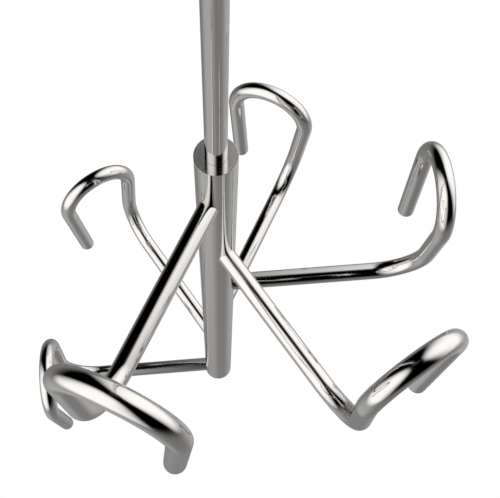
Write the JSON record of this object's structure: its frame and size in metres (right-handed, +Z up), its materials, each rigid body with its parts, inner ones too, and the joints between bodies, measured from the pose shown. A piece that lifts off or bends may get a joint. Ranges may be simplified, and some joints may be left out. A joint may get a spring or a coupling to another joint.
{
  "type": "standing coat rack",
  "caption": "Slim chrome pole on a weighted disc base, with a revolving head tube whose bent-bar hooks rise in a spiral for coats and bags.",
  "frame": {"origin": "on the floor, under the pole's axis", "axes": "+Z up along the pole, +X towards the lowest hook"},
  "size_m": [0.4036, 0.4216, 1.75],
  "materials": {
    "chrome": "polished chrome plate",
    "black_coat": "satin black powder coat",
    "cast_iron": "cast, with a thin dark paint",
    "rubber": "matt black rubber",
    "steel": "zinc plated",
    "bronze": "sintered bearing bronze",
    "polymer": "plain natural acetal"
  },
  "bodies": {
    "stand": {"floor_pads": "rubber", "base_weight": "cast_iron", "base_cover": "black_coat", "base_washer": "steel", "base_bolt": "steel", "base_collar": "chrome", "collar_screw": "steel", "lower_pole": "chrome", "pole_stud": "steel", "upper_pole": "chrome", "thrust_washer": "bronze", "retaining_washer": "steel", "retaining_screw": "steel"},
    "head": {"head_tube": "chrome", "end_ring": "chrome", "lower_bush": "polymer", "pivot_block": "steel", "pivot_bush": "bronze", "top_cap": "chrome", "hook_1": "chrome", "hook_2": "chrome", "hook_3": "chrome", "hook_4": "chrome", "hook_5": "chrome", "hook_6": "chrome"}
  },
  "joints": [
    {"name": "head_spin", "type": "hinge", "parent": "stand", "child": "head", "pos_m": [0, 0, 1.196], "axis": [0, 0, 1], "continuous": true}
  ]
}
